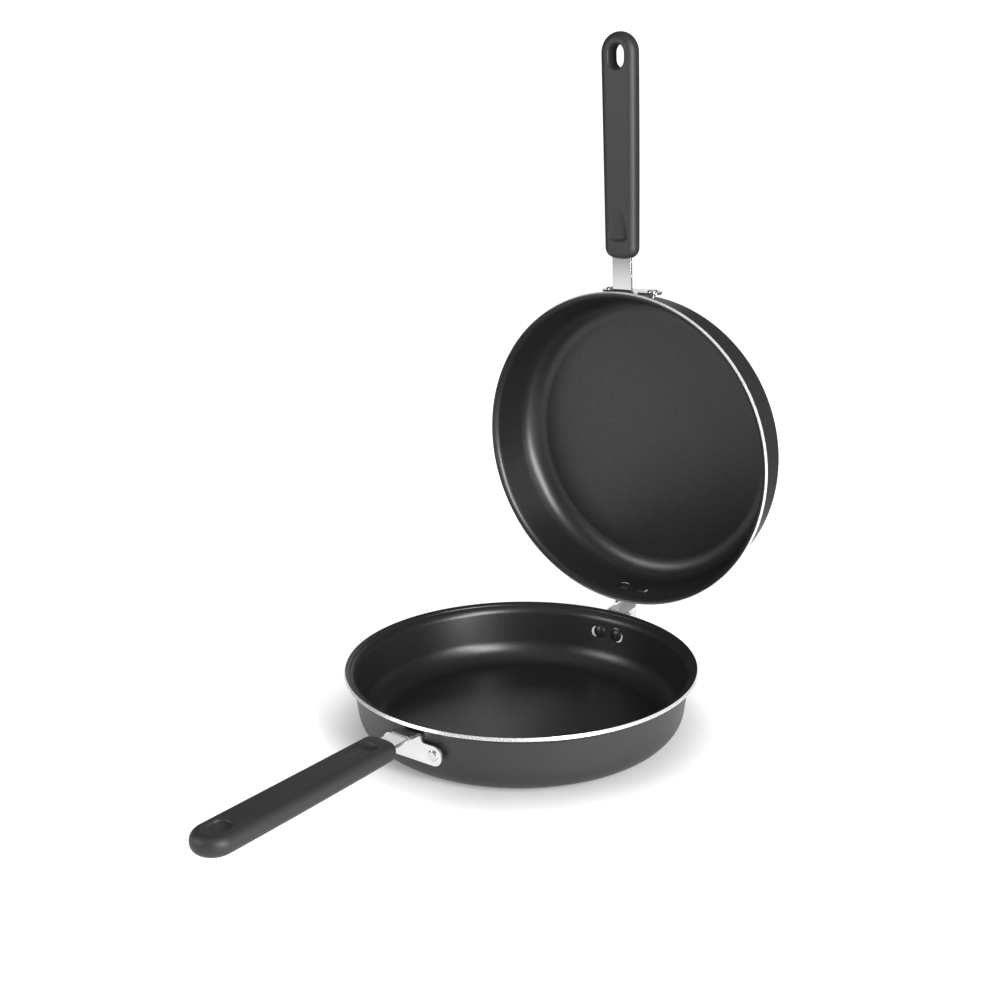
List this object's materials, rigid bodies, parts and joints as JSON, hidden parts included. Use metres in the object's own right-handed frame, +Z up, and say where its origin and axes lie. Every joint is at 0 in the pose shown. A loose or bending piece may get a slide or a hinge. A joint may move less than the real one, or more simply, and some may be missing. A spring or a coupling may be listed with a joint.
{
  "type": "double sided flip pan",
  "caption": "Hinged double frying pan: two shallow round non-stick pans that close rim to rim, each with its own long grip on a bent steel bracket.",
  "frame": {"origin": "centre of the underside of the lower pan's base, on the surface that the pan stands on", "axes": "+Z up; both grips point towards -Y when the pans are shut; the hinge is at +Y, its axis along X"},
  "size_m": [0.2514, 0.4845, 0.4772],
  "materials": {
    "coated_pan": "aluminium, black non-stick coating inside, dark grey satin coating outside, bare bright lip edge",
    "polished_steel": "bent steel sheet, polished and chromed",
    "pin_steel": "turned steel pin, bright",
    "moulded_grip": "dark charcoal heat-proof plastic, fine matt grain",
    "screw_steel": "zinc-bright steel",
    "rivet_metal": "aluminium rivet, coated head inside the pan, bright set head outside"
  },
  "bodies": {
    "lower_half": {"lower_pan": "coated_pan", "lower_handle_bracket": "polished_steel", "lower_hinge_bracket": "polished_steel", "lower_grip": "moulded_grip", "lower_grip_screw": "screw_steel", "lower_handle_rivet_left": "rivet_metal", "lower_handle_rivet_right": "rivet_metal", "lower_hinge_rivet_left": "rivet_metal", "lower_hinge_rivet_right": "rivet_metal"},
    "upper_half": {"upper_pan": "coated_pan", "upper_handle_bracket": "polished_steel", "upper_hinge_bracket": "polished_steel", "upper_grip": "moulded_grip", "upper_grip_screw": "screw_steel", "upper_handle_rivet_left": "rivet_metal", "upper_handle_rivet_right": "rivet_metal", "upper_hinge_rivet_left": "rivet_metal", "upper_hinge_rivet_right": "rivet_metal", "hinge_pin": "pin_steel"}
  },
  "joints": [
    {"name": "pan_hinge", "type": "hinge", "parent": "lower_half", "child": "upper_half", "pos_m": [0, 0.1314, 0.0419], "axis": [1, 0, 0], "range_deg": [0, 87.5]}
  ]
}
